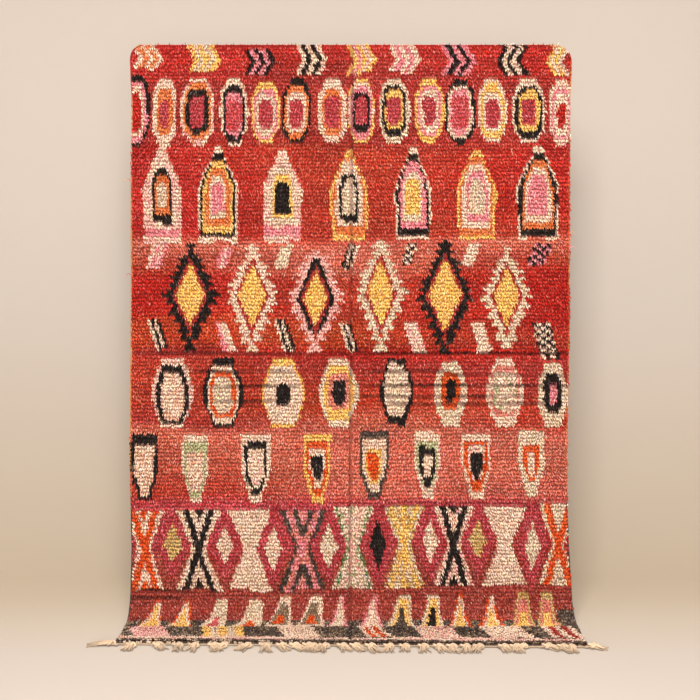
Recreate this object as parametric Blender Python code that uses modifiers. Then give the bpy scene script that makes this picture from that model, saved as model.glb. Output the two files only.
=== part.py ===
"""A hand-knotted pile rug, hung by its top edge, with its lower end lying forward on the floor.

Metres, +Z up. The origin is the middle of the top edge, on the back of the cloth. The pile
faces -Y. The floor is at -HANG_HEIGHT, and the knotted warp fringe lies on it.
"""

import math

import bmesh
import bpy
from mathutils import Vector

# Driving dimensions
HANG_HEIGHT = 2.260         # top edge to floor
CLOTH_THICKNESS = 0.014     # woven ground and pile together
TOE_RADIUS = 0.120          # bend from hanging to lying, on the back of the cloth
REACH_LEFT = 0.292          # front end of the cloth from the hanging plane, at the left edge
REACH_RIGHT = 0.352         # the same at the right edge, because the cloth is cut askew
GAP = 0.0004                # between a piece and its neighbour

# Where the side edges lie, down the length of the cloth: the weaver drew the sides in
# above the middle and let them out again towards the fringe. The first rows round the top corners.
EDGE_ROWS = (
    # down, left, right
    (0.000, -0.822, 0.806),
    (0.008, -0.838, 0.828),
    (0.020, -0.850, 0.846),
    (0.036, -0.858, 0.857),
    (0.055, -0.860, 0.862),
    (0.120, -0.857, 0.862),
    (0.200, -0.853, 0.855),
    (0.760, -0.853, 0.853),
    (1.200, -0.856, 0.850),
    (1.580, -0.858, 0.842),
    (1.780, -0.854, 0.844),
    (1.960, -0.850, 0.850),
    (2.120, -0.857, 0.860),
    (2.260, -0.861, 0.868),
    (2.540, -0.857, 0.858),
)
EDGE_COLUMN_NAMES = {"down": 0, "left": 1, "right": 2}

# Creases from storage: the rug was folded once lengthwise and twice across.
CENTRE_CREASE_DEPTH = 0.006
CENTRE_CREASE_WIDTH = 0.035
CROSS_CREASES = (
    # down, depth, half width
    (1.205, 0.005, 0.030),
    (1.335, 0.003, 0.022),
    (2.110, 0.004, 0.026),
)

# Broad waves of the hanging cloth, out from the hanging plane
WAVES = (
    # height, waves across, waves down, phase
    (0.0045, 1.5, 0.8, 0.4),
    (0.0030, 2.6, 1.7, 2.1),
    (0.0020, 0.6, 3.4, 1.2),
)
WAVE_ROOM = 0.0095          # the waves' own mean distance in front of the hanging plane
WAVE_START = 0.10           # the cloth is flat against its support down to here
WAVE_FULL = 0.35            # the waves have their full height from here
FOOT_LIFT = 0.009           # the stiff cloth stands off the floor just past the bend
FOOT_LIFT_END = 0.085       # and lies flat again this far past the bend

# Mesh stations
COLUMNS_EACH_SIDE = 12
CREASE_COLUMNS = (0.016, 0.042)
HANGING_STEP = 0.085
TOE_STEPS = 7
FOOT_LIFT_STEPS = 4
FOOT_STEPS = 3

# Side selvedge: warps overcast with yarn, a cord along each side
SELVEDGE_RADIUS = 0.0038
SELVEDGE_START = 0.058

# Fringe: a woven heading bar, and warps tied in overhand knots with loose tails
HEADING_HEIGHT = 0.007
HEADING_DEPTH = 0.009
NECK_WIDTH = 0.015
NECK_LENGTH = 0.018
KNOT_WIDTH = 0.027
KNOT_HEIGHT = 0.021
KNOT_LENGTH = 0.024
STRANDS_ACROSS = 3
TASSEL_SECTIONS = (
    # forward, width, height, share of the width that the corners keep
    (NECK_LENGTH, NECK_WIDTH * 0.85, HEADING_HEIGHT, 1.0),
    (KNOT_LENGTH * 0.30, KNOT_WIDTH * 0.88, KNOT_HEIGHT * 0.86, 0.66),
    (KNOT_LENGTH * 0.40, KNOT_WIDTH, KNOT_HEIGHT, 0.62),
    (KNOT_LENGTH * 0.30, KNOT_WIDTH * 0.84, KNOT_HEIGHT * 0.76, 0.80),
)
TAIL_LENGTH = 0.034
TAIL_SPREAD = 0.007
TIP_SHARE = 0.62            # a tail's tip, as a share of its root
UPPER_TAIL_SHARE = 0.62     # an upper strand's length, as a share of a lower one's
UPPER_TIP_HEIGHT = 0.0062   # an upper strand comes down onto the lower ones
LEAN_SHARE = 0.25           # sideways lean of a knot for each unit of its way forward
TAIL_UNEVENNESS = 0.12      # how much the strands of a tail differ in length
TAIL_LEAN = 0.012           # sideways lean of a tail's tip
STRAND_PARTING = 0.0009     # inset that parts the strands at their roots

# Places of the knots along the end, as shares of its width from the left corner, with the
# sideways lean of each tail. The end knots fan out past the corners.
KNOTS = (
    # place, lean, length share
    (0.010, -2.60, 1.90), (0.044, -0.30, 0.90), (0.086, 0.60, 0.85), (0.133, 0.10, 1.00),
    (0.174, -0.10, 1.05), (0.205, 0.10, 1.10), (0.237, 0.20, 0.95), (0.290, -0.20, 1.00),
    (0.320, -0.10, 1.10), (0.346, 0.10, 0.90), (0.371, 0.10, 1.00), (0.397, 0.20, 1.15),
    (0.424, 0.20, 0.90), (0.450, 0.20, 1.05), (0.475, 0.20, 0.95), (0.499, 0.30, 1.10),
    (0.534, 0.40, 1.15), (0.582, -0.10, 1.00), (0.612, 0.10, 0.90), (0.650, 0.20, 1.00),
    (0.676, 0.30, 1.10), (0.710, -0.20, 1.00), (0.741, 0.10, 1.05), (0.773, 0.20, 1.10),
    (0.812, -0.10, 0.95), (0.838, 0.00, 1.05), (0.870, 0.10, 1.00), (0.896, 0.20, 0.95),
    (0.931, 0.00, 1.05), (0.956, 0.20, 0.90), (0.990, 2.10, 1.35),
)


def clear_scene():
    """Removes whatever objects the file holds."""
    for found in list(bpy.data.objects):
        bpy.data.objects.remove(found, do_unlink=True)


def make_material(name, colour, roughness):
    """A Principled material for wool or cotton yarn."""
    material = bpy.data.materials.new(name)
    material.use_nodes = True
    shader = material.node_tree.nodes["Principled BSDF"]
    shader.inputs["Base Color"].default_value = (*colour, 1.0)
    shader.inputs["Roughness"].default_value = roughness
    shader.inputs["Metallic"].default_value = 0.0
    material.diffuse_color = (*colour, 1.0)
    return material


def smooth(value, low, high):
    """0 below low, 1 above high, easing in between."""
    share = min(1.0, max(0.0, (value - low) / (high - low)))
    return share * share * (3.0 - 2.0 * share)


def edge_at(down, side):
    """Where the left or right edge of the cloth lies at a distance down it."""
    column = EDGE_COLUMN_NAMES[side]
    for above, below in zip(EDGE_ROWS, EDGE_ROWS[1:]):
        if down <= below[0]:
            share = (down - above[0]) / (below[0] - above[0])
            return above[column] + share * (below[column] - above[column])
    return EDGE_ROWS[-1][column]


HANGING_LENGTH = HANG_HEIGHT - TOE_RADIUS
TOE_LENGTH = math.pi / 2.0 * TOE_RADIUS
FOOT_START = HANGING_LENGTH + TOE_LENGTH
MEAN_FOOT = (REACH_LEFT + REACH_RIGHT) / 2.0 - TOE_RADIUS
CLOTH_LENGTH = FOOT_START + MEAN_FOOT


def standing_off(across, down):
    """How far the back of the cloth stands in front of its plain path."""
    waves = WAVE_ROOM
    for height, waves_across, waves_down, phase in WAVES:
        turn = waves_across * across + waves_down * down
        waves += height * math.sin(2.0 * math.pi * turn + phase)
    centre = math.exp(-((across / CENTRE_CREASE_WIDTH) ** 2))
    waves -= CENTRE_CREASE_DEPTH * centre
    for crease_down, depth, half_width in CROSS_CREASES:
        waves -= depth * math.exp(-(((down - crease_down) / half_width) ** 2))
    hanging = smooth(down, WAVE_START, WAVE_FULL)
    hanging *= 1.0 - smooth(down, HANGING_LENGTH - 0.10, HANGING_LENGTH + 0.06)
    past_bend = (down - FOOT_START) / FOOT_LIFT_END
    lift = 0.0
    if -1.0 < past_bend < 1.0:
        lift = FOOT_LIFT * (0.5 + 0.5 * math.cos(math.pi * past_bend))
    return waves * hanging + lift


def path_at(down, across_share):
    """The back of the cloth along one warp: its place (y, z) and the way out of the pile."""
    if down <= HANGING_LENGTH:
        return (0.0, -down), (-1.0, 0.0)
    if down <= FOOT_START:
        turn = (down - HANGING_LENGTH) / TOE_RADIUS
        centre_y, centre_z = -TOE_RADIUS, -HANGING_LENGTH
        place = (
            centre_y + TOE_RADIUS * math.cos(turn),
            centre_z - TOE_RADIUS * math.sin(turn),
        )
        return place, (-math.cos(turn), math.sin(turn))
    reach = REACH_LEFT + (REACH_RIGHT - REACH_LEFT) * across_share
    stretch = (reach - TOE_RADIUS) / MEAN_FOOT
    return (-TOE_RADIUS - (down - FOOT_START) * stretch, -HANG_HEIGHT), (0.0, 1.0)


def cloth_point(across_share, down, depth=0.0, aside=0.0):
    """A point of the cloth: 0 to 1 from left to right, so far down, so deep into the pile."""
    left, right = edge_at(down, "left"), edge_at(down, "right")
    across = left + (right - left) * across_share
    (y, z), (out_y, out_z) = path_at(down, across_share)
    out = standing_off(across, down) + depth
    return Vector((across + aside, y + out_y * out, z + out_z * out))


def row_stations():
    """Distances down the cloth at which the mesh has a row."""
    rows = {edge[0] for edge in EDGE_ROWS if edge[0] < HANGING_LENGTH - 0.06}
    steps = round(HANGING_LENGTH / HANGING_STEP)
    for index in range(1, steps + 1):
        rows.add(HANGING_LENGTH * index / steps)
    for crease_down, _, half_width in CROSS_CREASES:
        rows.update((crease_down - half_width, crease_down, crease_down + half_width))
    for index in range(1, TOE_STEPS + 1):
        rows.add(HANGING_LENGTH + TOE_LENGTH * index / TOE_STEPS)
    lift_end = FOOT_START + FOOT_LIFT_END
    for index in range(1, FOOT_LIFT_STEPS + 1):
        rows.add(FOOT_START + FOOT_LIFT_END * index / FOOT_LIFT_STEPS)
    for index in range(1, FOOT_STEPS + 1):
        rows.add(lift_end + (CLOTH_LENGTH - lift_end) * index / FOOT_STEPS)
    kept = [0.0]
    for down in sorted(rows):
        if down - kept[-1] > 0.006:
            kept.append(down)
    return kept


def column_stations():
    """Shares of the width at which the mesh has a column, closer beside the centre crease."""
    shares = {0.5}
    for index in range(COLUMNS_EACH_SIDE):
        share = 0.5 * index / COLUMNS_EACH_SIDE
        shares.update((share, 1.0 - share))
    for offset in CREASE_COLUMNS:
        half = offset / 1.7
        shares.update((0.5 - half, 0.5 + half))
    kept = []
    for share in sorted(shares):
        if not kept or share - kept[-1] > 0.006:
            kept.append(share)
    return kept


def add_object(name, mesh, material, collection):
    """Links a mesh as one named object with its material."""
    made = bpy.data.objects.new(name, mesh)
    mesh.materials.append(material)
    collection.objects.link(made)
    return made


def make_cloth(material, collection):
    """The rug's own cloth: its back as a grid, thickened towards the pile."""
    rows, columns = row_stations(), column_stations()
    grid = bmesh.new()
    bmesh.ops.create_grid(
        grid, x_segments=len(columns) - 1, y_segments=len(rows) - 1, size=0.5
    )
    for vertex in grid.verts:
        column = round((vertex.co.x + 0.5) * (len(columns) - 1))
        row = round((0.5 - vertex.co.y) * (len(rows) - 1))
        vertex.co = cloth_point(columns[column], rows[row])
    mesh = bpy.data.meshes.new("rug")
    grid.to_mesh(mesh)
    grid.free()
    cloth = add_object("rug", mesh, material, collection)
    thicken = cloth.modifiers.new("pile_thickness", "SOLIDIFY")
    thicken.thickness = CLOTH_THICKNESS
    thicken.offset = 1.0
    mesh.shade_smooth()
    return cloth


def make_selvedge(name, side, material, collection):
    """The overcast cord along one side, as a tube beside the cloth's edge."""
    share, outwards = (0.0, -1.0) if side == "left" else (1.0, 1.0)
    aside = outwards * (SELVEDGE_RADIUS + GAP)
    rows = [SELVEDGE_START] + [down for down in row_stations() if down > SELVEDGE_START + 0.02]
    data = bpy.data.curves.new(name, "CURVE")
    data.dimensions = "3D"
    data.bevel_depth = SELVEDGE_RADIUS
    data.bevel_resolution = 1
    data.use_fill_caps = True
    spline = data.splines.new("POLY")
    spline.points.add(len(rows) - 1)
    for point, down in zip(spline.points, rows):
        place = cloth_point(share, down, depth=SELVEDGE_RADIUS + GAP, aside=aside)
        point.co = (*place, 1.0)
    made = bpy.data.objects.new(name, data)
    data.materials.append(material)
    collection.objects.link(made)
    return made


def end_edge_at(share):
    """The front end of the cloth on the floor, at a share of its width."""
    return cloth_point(share, CLOTH_LENGTH)


def heading_stations():
    """The heading's stations along the end: plain stretches and, at each knot, a strand's width each."""
    left, right = end_edge_at(0.0).x, end_edge_at(1.0).x
    stations, knot_cells = [left], []
    for place, lean, length in KNOTS:
        centre = left + (right - left) * place
        start = max(centre - NECK_WIDTH / 2.0, stations[-1] + 0.002)
        start = min(start, right - 0.002 - NECK_WIDTH)
        knot_cells.append((len(stations), lean, length))
        for index in range(STRANDS_ACROSS + 1):
            stations.append(start + NECK_WIDTH * index / STRANDS_ACROSS)
    stations.append(right)
    return stations, knot_cells


def heading_mesh(stations):
    """A closed bar along the end of the cloth, two faces high on its front."""
    bar = bmesh.new()
    bmesh.ops.create_grid(bar, x_segments=len(stations) - 1, y_segments=2, size=0.5)
    width = stations[-1] - stations[0]
    for vertex in bar.verts:
        station = stations[round((vertex.co.x + 0.5) * (len(stations) - 1))]
        end = end_edge_at((station - stations[0]) / width)
        height = (vertex.co.y + 0.5) * HEADING_HEIGHT
        front = end.y - GAP - HEADING_DEPTH
        vertex.co = (station, front, -HANG_HEIGHT + height)
    closed = bmesh.ops.extrude_face_region(bar, geom=bar.faces[:])
    for vertex in closed["geom"]:
        if isinstance(vertex, bmesh.types.BMVert):
            vertex.co.y += HEADING_DEPTH
    bmesh.ops.recalc_face_normals(bar, faces=bar.faces[:])
    return bar


def front_faces(bar, low, high):
    """The front faces of the bar between two stations along it."""
    found = []
    for face in bar.faces:
        centre = face.calc_center_median()
        if face.normal.y < -0.9 and low < centre.x < high:
            found.append(face)
    return found


def draw_out(bar, faces, forward, aside, width, height, corner=1.0):
    """Extrudes a patch of faces to a new section: its size, how far forward and aside it lies,
    and how much of its width its corners keep."""
    drawn = bmesh.ops.extrude_face_region(bar, geom=faces)
    points = [item for item in drawn["geom"] if isinstance(item, bmesh.types.BMVert)]
    made = [item for item in drawn["geom"] if isinstance(item, bmesh.types.BMFace)]
    bmesh.ops.delete(bar, geom=faces, context="FACES_ONLY")
    low = [min(point.co[axis] for point in points) for axis in range(3)]
    high = [max(point.co[axis] for point in points) for axis in range(3)]
    middle = (low[0] + high[0]) / 2.0
    for point in points:
        side = (point.co.x - middle) / (high[0] - low[0])
        level = (point.co.z - low[2]) / (high[2] - low[2])
        at_corner = abs(side) > 0.49 and abs(level - 0.5) > 0.49
        point.co.x = middle + aside + side * width * (corner if at_corner else 1.0)
        point.co.y -= forward
        point.co.z = -HANG_HEIGHT + level * height
    return made


def draw_tails(bar, faces, lean, length):
    """Parts the front of a knot into strands and draws each out along the floor."""
    bmesh.ops.inset_individual(bar, faces=faces, thickness=STRAND_PARTING, use_even_offset=True)
    middle = sum(face.calc_center_median().x for face in faces) / len(faces)
    split = -HANG_HEIGHT + KNOT_HEIGHT / 2.0
    for index, face in enumerate(faces):
        centre = face.calc_center_median()
        upper = centre.z > split
        outwards = (centre.x - middle) / (KNOT_WIDTH / 2.0)
        spread = outwards * TAIL_SPREAD + lean * TAIL_LEAN
        uneven = 1.0 + TAIL_UNEVENNESS * ((index * 5) % 3 - 1)
        reach = TAIL_LENGTH * length * uneven * (UPPER_TAIL_SHARE if upper else 1.0)
        steps = ((0.45, 0.80), (1.0, TIP_SHARE)) if upper else ((1.0, TIP_SHARE),)
        root = [vertex.co.copy() for vertex in face.verts]
        size = max(point.z for point in root) - min(point.z for point in root)
        current = face
        for share, scale in steps:
            drawn = bmesh.ops.extrude_discrete_faces(bar, faces=[current])
            current = drawn["faces"][0]
            bottom = 0.0
            if upper:
                root_bottom = centre.z - size / 2.0 + HANG_HEIGHT
                bottom = root_bottom * (1.0 - share) + UPPER_TIP_HEIGHT * share
            for vertex, start in zip(current.verts, root):
                level = 1.0 if start.z > centre.z else 0.0
                vertex.co.x = centre.x + spread * share + (start.x - centre.x) * scale
                vertex.co.y = start.y - reach * share
                vertex.co.z = -HANG_HEIGHT + bottom + level * size * scale


def make_fringe(material, collection):
    """The heading bar and its knotted tassels, as one piece."""
    stations, knot_cells = heading_stations()
    bar = heading_mesh(stations)
    for first, lean, length in knot_cells:
        patch = front_faces(bar, stations[first], stations[first + STRANDS_ACROSS])
        for forward, width, height, corner in TASSEL_SECTIONS:
            patch = draw_out(bar, patch, forward, lean * forward * LEAN_SHARE, width, height, corner)
        draw_tails(bar, patch, lean, length)
    bmesh.ops.recalc_face_normals(bar, faces=bar.faces[:])
    mesh = bpy.data.meshes.new("fringe")
    bar.to_mesh(mesh)
    bar.free()
    return add_object("fringe", mesh, material, collection)


def main():
    clear_scene()
    collection = bpy.data.collections.new("boujad_rug")
    bpy.context.scene.collection.children.link(collection)
    pile_wool = make_material("madder_red_wool_pile", (0.42, 0.050, 0.035), 0.95)
    edge_wool = make_material("orange_overcast_wool", (0.72, 0.33, 0.09), 0.9)
    warp_yarn = make_material("undyed_warp_yarn", (0.66, 0.53, 0.38), 0.95)
    make_cloth(pile_wool, collection)
    make_selvedge("selvedge_left", "left", edge_wool, collection)
    make_selvedge("selvedge_right", "right", edge_wool, collection)
    make_fringe(warp_yarn, collection)


main()
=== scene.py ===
"""Dresses the frame of a hanging pile rug: woven ground, knotted pile, selvedges, fringe and a plain studio.

Metres, +Z up. The pile faces -Y, and the origin is the middle of the top edge on the back of the cloth.
The design is a weaver's chart: bands of motifs in millimetres, read off knot by knot.
"""

import math

import bmesh
import bpy
import numpy as np
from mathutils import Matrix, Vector


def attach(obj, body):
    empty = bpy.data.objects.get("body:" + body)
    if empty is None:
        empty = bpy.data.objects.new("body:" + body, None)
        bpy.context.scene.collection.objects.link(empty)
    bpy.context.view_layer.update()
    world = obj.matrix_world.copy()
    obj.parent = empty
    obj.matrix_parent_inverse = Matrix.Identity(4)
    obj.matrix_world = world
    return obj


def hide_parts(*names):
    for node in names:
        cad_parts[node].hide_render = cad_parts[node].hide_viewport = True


bl_info = {
    "name": "Knotted pile rug",
    "version": (1, 0, 0),
    "blender": (4, 5, 0),
    "location": "View3D > Sidebar > Rug",
    "description": "Builds a hand-knotted pile rug, hung by its top edge with its end on the floor",
    "category": "Add Mesh",
}

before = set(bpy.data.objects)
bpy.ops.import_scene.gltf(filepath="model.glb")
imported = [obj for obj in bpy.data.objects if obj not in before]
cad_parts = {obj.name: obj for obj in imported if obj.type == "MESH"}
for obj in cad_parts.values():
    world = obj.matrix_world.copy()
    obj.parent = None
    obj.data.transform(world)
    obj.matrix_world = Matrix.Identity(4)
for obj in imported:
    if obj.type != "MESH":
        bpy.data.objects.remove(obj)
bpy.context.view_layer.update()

# The cloth's own path, as in the construction
HANG_HEIGHT = 2.260
TOE_RADIUS = 0.120
REACH_LEFT = 0.292
REACH_RIGHT = 0.352
HANGING_LENGTH = HANG_HEIGHT - TOE_RADIUS
FOOT_START = HANGING_LENGTH + math.pi / 2.0 * TOE_RADIUS
MEAN_FOOT = (REACH_LEFT + REACH_RIGHT) / 2.0 - TOE_RADIUS
CLOTH_LENGTH = FOOT_START + MEAN_FOOT
FLAT_WIDTH = 1.71
EDGE_ROWS = np.array((
    # down, left, right
    (0.000, -0.822, 0.806),
    (0.008, -0.838, 0.828),
    (0.020, -0.850, 0.846),
    (0.036, -0.858, 0.857),
    (0.055, -0.860, 0.862),
    (0.120, -0.857, 0.862),
    (0.200, -0.853, 0.855),
    (0.760, -0.853, 0.853),
    (1.200, -0.856, 0.850),
    (1.580, -0.858, 0.842),
    (1.780, -0.854, 0.844),
    (1.960, -0.850, 0.850),
    (2.120, -0.857, 0.860),
    (2.260, -0.861, 0.868),
    (2.540, -0.857, 0.858),
))
CENTRE_CREASE_DEPTH = 0.006
CENTRE_CREASE_WIDTH = 0.035
CROSS_CREASES = (
    # down, depth, half width
    (1.205, 0.005, 0.030),
    (1.335, 0.003, 0.022),
    (2.110, 0.004, 0.026),
)
WAVES = (
    # height, waves across, waves down, phase
    (0.0045, 1.5, 0.8, 0.4),
    (0.0030, 2.6, 1.7, 2.1),
    (0.0020, 0.6, 3.4, 1.2),
)
WAVE_ROOM = 0.0095
FOOT_LIFT = 0.009
FOOT_LIFT_END = 0.085

# Ground and pile
GROUND_THICKNESS = 0.0045
ROOT_DEPTH = 0.0040
LOCKS_A_KNOT = 3
SELVEDGE_START = 0.058
SEED = 11
FLOOR_CLEARANCE = 0.0004    # how near a lock comes to the floor
WEFT_COLOUR = "#8f4a38"

# Rows where storage creases and slack wefts leave the pile open, and where painted shade darkens the locks
OPEN_ROWS = (
    # down, left, right, how far it opens
    (1.205, -0.86, 0.02, 0.50),
    (1.205, 0.02, 0.86, 0.95),
    (1.268, -0.62, -0.22, 0.70),
    (1.268, 0.06, 0.40, 0.60),
    (1.282, 0.36, 0.86, 0.60),
    (1.324, -0.60, -0.20, 0.75),
    (1.324, 0.02, 0.86, 0.80),
    (1.366, 0.02, 0.70, 0.65),
    (1.380, -0.55, -0.25, 0.60),
    (1.396, 0.10, 0.80, 0.50),
    (2.128, -0.86, -0.62, 0.90),
    (2.156, -0.86, -0.66, 0.85),
)
CREASE_PARTING = 0.0120     # half width of the parting along the lengthwise crease
FOLD_WIDTH = 0.0050         # half width of its lower pile and of its line of painted shade
FOLD_ACROSS = 0.005         # where the line starts at the top edge
FOLD_DRIFT = 0.004          # how far it moves to the left for each m down
LOCK_SPREAD = 0.0008        # how unevenly the locks of a knot lie across
ROW_SPREAD = 0.0025         # and down

# Along a lock from its root: painted shade and a painted highlight, as the power that deepens the dye and
# the factor of its light
LOCK_STATIONS = (0.0, 0.58, 1.0)
LOCK_SHADE_POWERS = (1.60, 1.14, 0.92)
LOCK_SHADE_AND_HIGHLIGHT = (0.54, 0.97, 1.13)

# Bands of the pile, one piece each
BANDS = (
    # name, down to
    ("pile_chevrons", 0.121),
    ("pile_cartouches", 0.393),
    ("pile_gates", 0.765),
    ("pile_barbed_lozenges", 1.205),
    ("pile_medallions", 1.495),
    ("pile_shields", 1.785),
    ("pile_crosses", 2.120),
    ("pile_wedges", 2.310),
    ("pile_end_stripes", 2.600),
)

# The red ground changes dye lot down the cloth and from side to side
ABRASH = (
    # down in mm, left, middle, right
    (0, "scarlet", "scarlet", "scarlet"),
    (95, "scarlet", "madder", "scarlet"),
    (150, "madder", "madder", "madder"),
    (370, "madder", "madder", "madder"),
    (405, "scarlet", "brick", "scarlet"),
    (600, "scarlet", "brick", "crimson"),
    (740, "scarlet", "brick", "brick"),
    (770, "terracotta", "terracotta", "terracotta"),
    (860, "brick", "terracotta", "brick"),
    (900, "crimson", "brick", "crimson"),
    (1030, "crimson", "brick", "crimson"),
    (1070, "rust", "rust", "crimson"),
    (1150, "rust", "rust", "brick"),
    (1190, "madder", "crimson", "crimson"),
    (1240, "brick", "madder", "madder"),
    (1330, "brick", "brick", "madder"),
    (1400, "brick", "rust", "brick"),
    (1470, "madder", "terracotta", "brick"),
    (1510, "terracotta", "terracotta", "terracotta"),
    (1740, "brick", "terracotta", "terracotta"),
    (1785, "raspberry", "raspberry", "raspberry"),
    (1920, "raspberry", "raspberry", "madder"),
    (2010, "wine", "wine", "wine"),
    (2230, "wine", "wine", "wine"),
    (2290, "maroon", "maroon", "maroon"),
)

# Plain outlines: share of the height, share of the half width
FORMS = {
    "cartouche": (
        (0.00, 0.44), (0.06, 0.48), (0.17, 0.80), (0.30, 0.95), (0.50, 1.00),
        (0.70, 0.96), (0.83, 0.82), (0.94, 0.48), (1.00, 0.40),
    ),
    "medallion": (
        (0.00, 0.48), (0.08, 0.52), (0.20, 0.74), (0.38, 0.95), (0.50, 1.00),
        (0.62, 0.96), (0.80, 0.73), (0.92, 0.55), (1.00, 0.48),
    ),
    "octagon": ((0.00, 0.70), (0.12, 0.93), (0.25, 1.00), (0.75, 1.00), (0.88, 0.90), (1.00, 0.62)),
    "gate": (
        (0.00, 0.17), (0.08, 0.28), (0.17, 0.45), (0.25, 0.66), (0.36, 0.87),
        (0.45, 1.00), (0.60, 1.00), (0.80, 0.95), (1.00, 0.93),
    ),
    "arch": ((0.00, 0.50), (0.08, 0.70), (0.20, 0.90), (0.32, 1.00), (1.00, 1.00)),
    "shield": ((0.00, 0.98), (0.50, 1.00), (0.70, 0.82), (0.86, 0.52), (1.00, 0.38)),
    "lozenge": ((0.00, 0.06), (0.50, 1.00), (1.00, 0.06)),
    "hourglass": ((0.00, 1.00), (0.45, 0.34), (0.53, 0.34), (1.00, 1.00)),
    "wedge": ((0.00, 0.40), (0.40, 0.64), (0.75, 0.88), (1.00, 1.00)),
    "spike": ((0.00, 0.16), (0.40, 0.46), (0.75, 0.82), (1.00, 1.00)),
    "tooth": ((0.00, 0.30), (0.50, 0.65), (1.00, 1.00)),
    "bar": ((0.00, 1.00), (1.00, 1.00)),
}
# What the rings inside a form turn into
INNER_FORMS = {"cartouche": "octagon", "medallion": "octagon", "gate": "arch"}

# Motifs, in mm. Each ring of yarn gives its width at the side, above and, where it differs, below.
CARTOUCHES = (
    # place, half width, top, bottom, yarns from the outside in
    (-840, 63, 108, 396, "black 15 30 16, pink 12 22 22, cream 15 26 24, crimson"),
    (-722, 49, 119, 391, "cream 17 50 42, orange 14 34 26, raspberry"),
    (-593, 66, 125, 386, "rosecream 11 20 17, orange 10 27 27, black 16 24 22, raspberry"),
    (-454, 55, 125, 387, "cream 11 27 10, black 10 29 22, pink 4 27 26, rosered"),
    (-330, 57, 133, 382, "gold 11 28 18, pink 10 28 19, ecru 11 22 20, raspberry"),
    (-211, 58, 122, 381, "black 11 32 21, orange 8 22 22, cream 14 28 22, raspberry"),
    (-72, 58, 125, 382, "cream 18 47 40, orange 8 28 28, raspberry"),
    (41, 53, 128, 382, "gold 5 8 18, cream 4 26 0, pink 9 22 30, black 9 20 20, raspberry"),
    (170, 59, 122, 384, "ecru 12 27 32, black 11 22 25, gold 7 24 24, raspberry"),
    (306, 59, 126, 382, "gold 12 22 28, pink 10 25 25, cream 12 25 22, raspberry"),
    (425, 62, 128, 382, "black 12 22 20, cream 11 24 22, pink 5 27 24, rosered"),
    (550, 56, 124, 380, "cream 9 24 12, gold 11 34 32, cream 11 27 22, raspberry"),
    (692, 66, 128, 380, "cream 10 24 15, black 15 24 27, gold 12 32 24, raspberry"),
    (819, 50, 132, 384, "rosecream 12 32 20, pink 10 24 14, cream 12 29 30, crimson"),
)
GATES = (
    # place, half width, top, bottom, yarns from the outside in
    (-733, 73, 393, 762, "rosecream 35 83 71, black 9 29 29, orange 11 27 32, ecru"),
    (
        -517, 80, 393, 762,
        "cream 9 31 17, black 11 24 20, gold 12 27 22, orange 14 32 34, ecru 8 24 17, pink",
    ),
    (-265, 78, 404, 760, "rosecream 28 76 64, ecru 9 19 24, gold 10 27 22, black"),
    (-8, 72, 408, 755, "gold 10 26 20, orange 10 20 32, cream 15 42 26, black 12 23 26, ecru"),
    (240, 70, 396, 754, "cream 8 29 20, black 11 26 23, pink 13 40 32, ecru 8 22 23, gold"),
    (489, 76, 400, 758, "gold 10 29 23, orange 10 26 23, cream 15 38 26, pink 11 28 26, ecru"),
    (728, 82, 390, 748, "cream 8 26 10, black 13 26 23, orange 13 32 26, cream 12 26 29, pink"),
)
MEDALLIONS = (
    # place, half width, top, bottom, yarns from the outside in
    (-692, 84, 1210, 1488, "rosecream 16 33 14, black 22 32 26, mixed"),
    (-495, 80, 1220, 1482, "black 16 26 14, cream 13 32 22, flame 14 16 20, ecru"),
    (-263, 86, 1220, 1484, "gold 9 20 10, cream 22 34 28, ecru 12 24 22, cream 18 22 20, black"),
    (-47, 78, 1218, 1484, "ecru 18 30 26, gold 18 24 44, salmon 17 28 20, black"),
    (179, 68, 1214, 1476, "black 16 22 36, cream 18 40 30, ecru"),
    (388, 66, 1224, 1476, "ecru 31 50 62, flame 17 26 29, black"),
    (599, 74, 1222, 1480, "cream 16 26 40, salmon 8 24 24, mint"),
    (784, 62, 1230, 1484, "ecru 28 50 58, black 20 32 34, pink"),
)
SHIELDS = (
    # place, half width, top, bottom, yarns from the outside in
    (-800, 54, 1514, 1770, "black 15 38 26, mixed"),
    (-604, 50, 1516, 1773, "cream 6 28 10, sage 10 33 24, mixed"),
    (-369, 58, 1512, 1771, "cream 12 33 28, black 11 27 16, cream 11 26 26, rosecream"),
    (-129, 53, 1508, 1769, "gold 11 27 27, flame 12 29 30, cream 9 26 20, black"),
    (92, 57, 1500, 1758, "charcoal 13 28 26, cream 12 36 20, gold 8 23 26, flame"),
    (300, 50, 1500, 1756, "cream 10 36 34, sage 8 22 10, black 13 32 32, cream"),
    (488, 53, 1502, 1758, "cream 9 29 29, flame 13 26 36, rosecream 8 29 8, black"),
    (700, 49, 1500, 1752, "ecru 20 51 56, flame 13 33 20, cream"),
)
SMALL_LOZENGES = (
    # place, half width, top, bottom, yarn
    (-692, 37, 1865, 2007, "straw"),
    (-489, 31, 1867, 2015, "cream"),
    (-302, 35, 1871, 2038, "cream"),
    (-88, 39, 1863, 2023, "ecru"),
    (105, 33, 1847, 2035, "black"),
    (310, 31, 1839, 2011, "cream"),
    (493, 35, 1851, 1996, "straw"),
    (706, 33, 1847, 2042, "ecru"),
)
CHEVRONS = (
    # place, half width, top, bottom, how far the point leads, yarns from left to right
    (-794, 62, 4, 90, 31, "cream orange cream orange cream"),
    (-571, 66, 4, 102, 31, "gold ecru gold ecru gold"),
    (-353, 60, 16, 106, 27, "black pink black pink black"),
    (-154, 62, 0, 106, 27, "cream black cream black cream"),
    (43, 60, 0, 106, 31, "gold pink gold rosecream gold"),
    (211, 64, 0, 104, 31, "cream pink cream pink cream"),
    (419, 70, 6, 112, 35, "pink black pink black pink"),
    (630, 66, 0, 112, -35, "black cream black cream black"),
    (817, 58, 4, 118, -31, "gold cream gold cream madder"),
)
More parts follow.
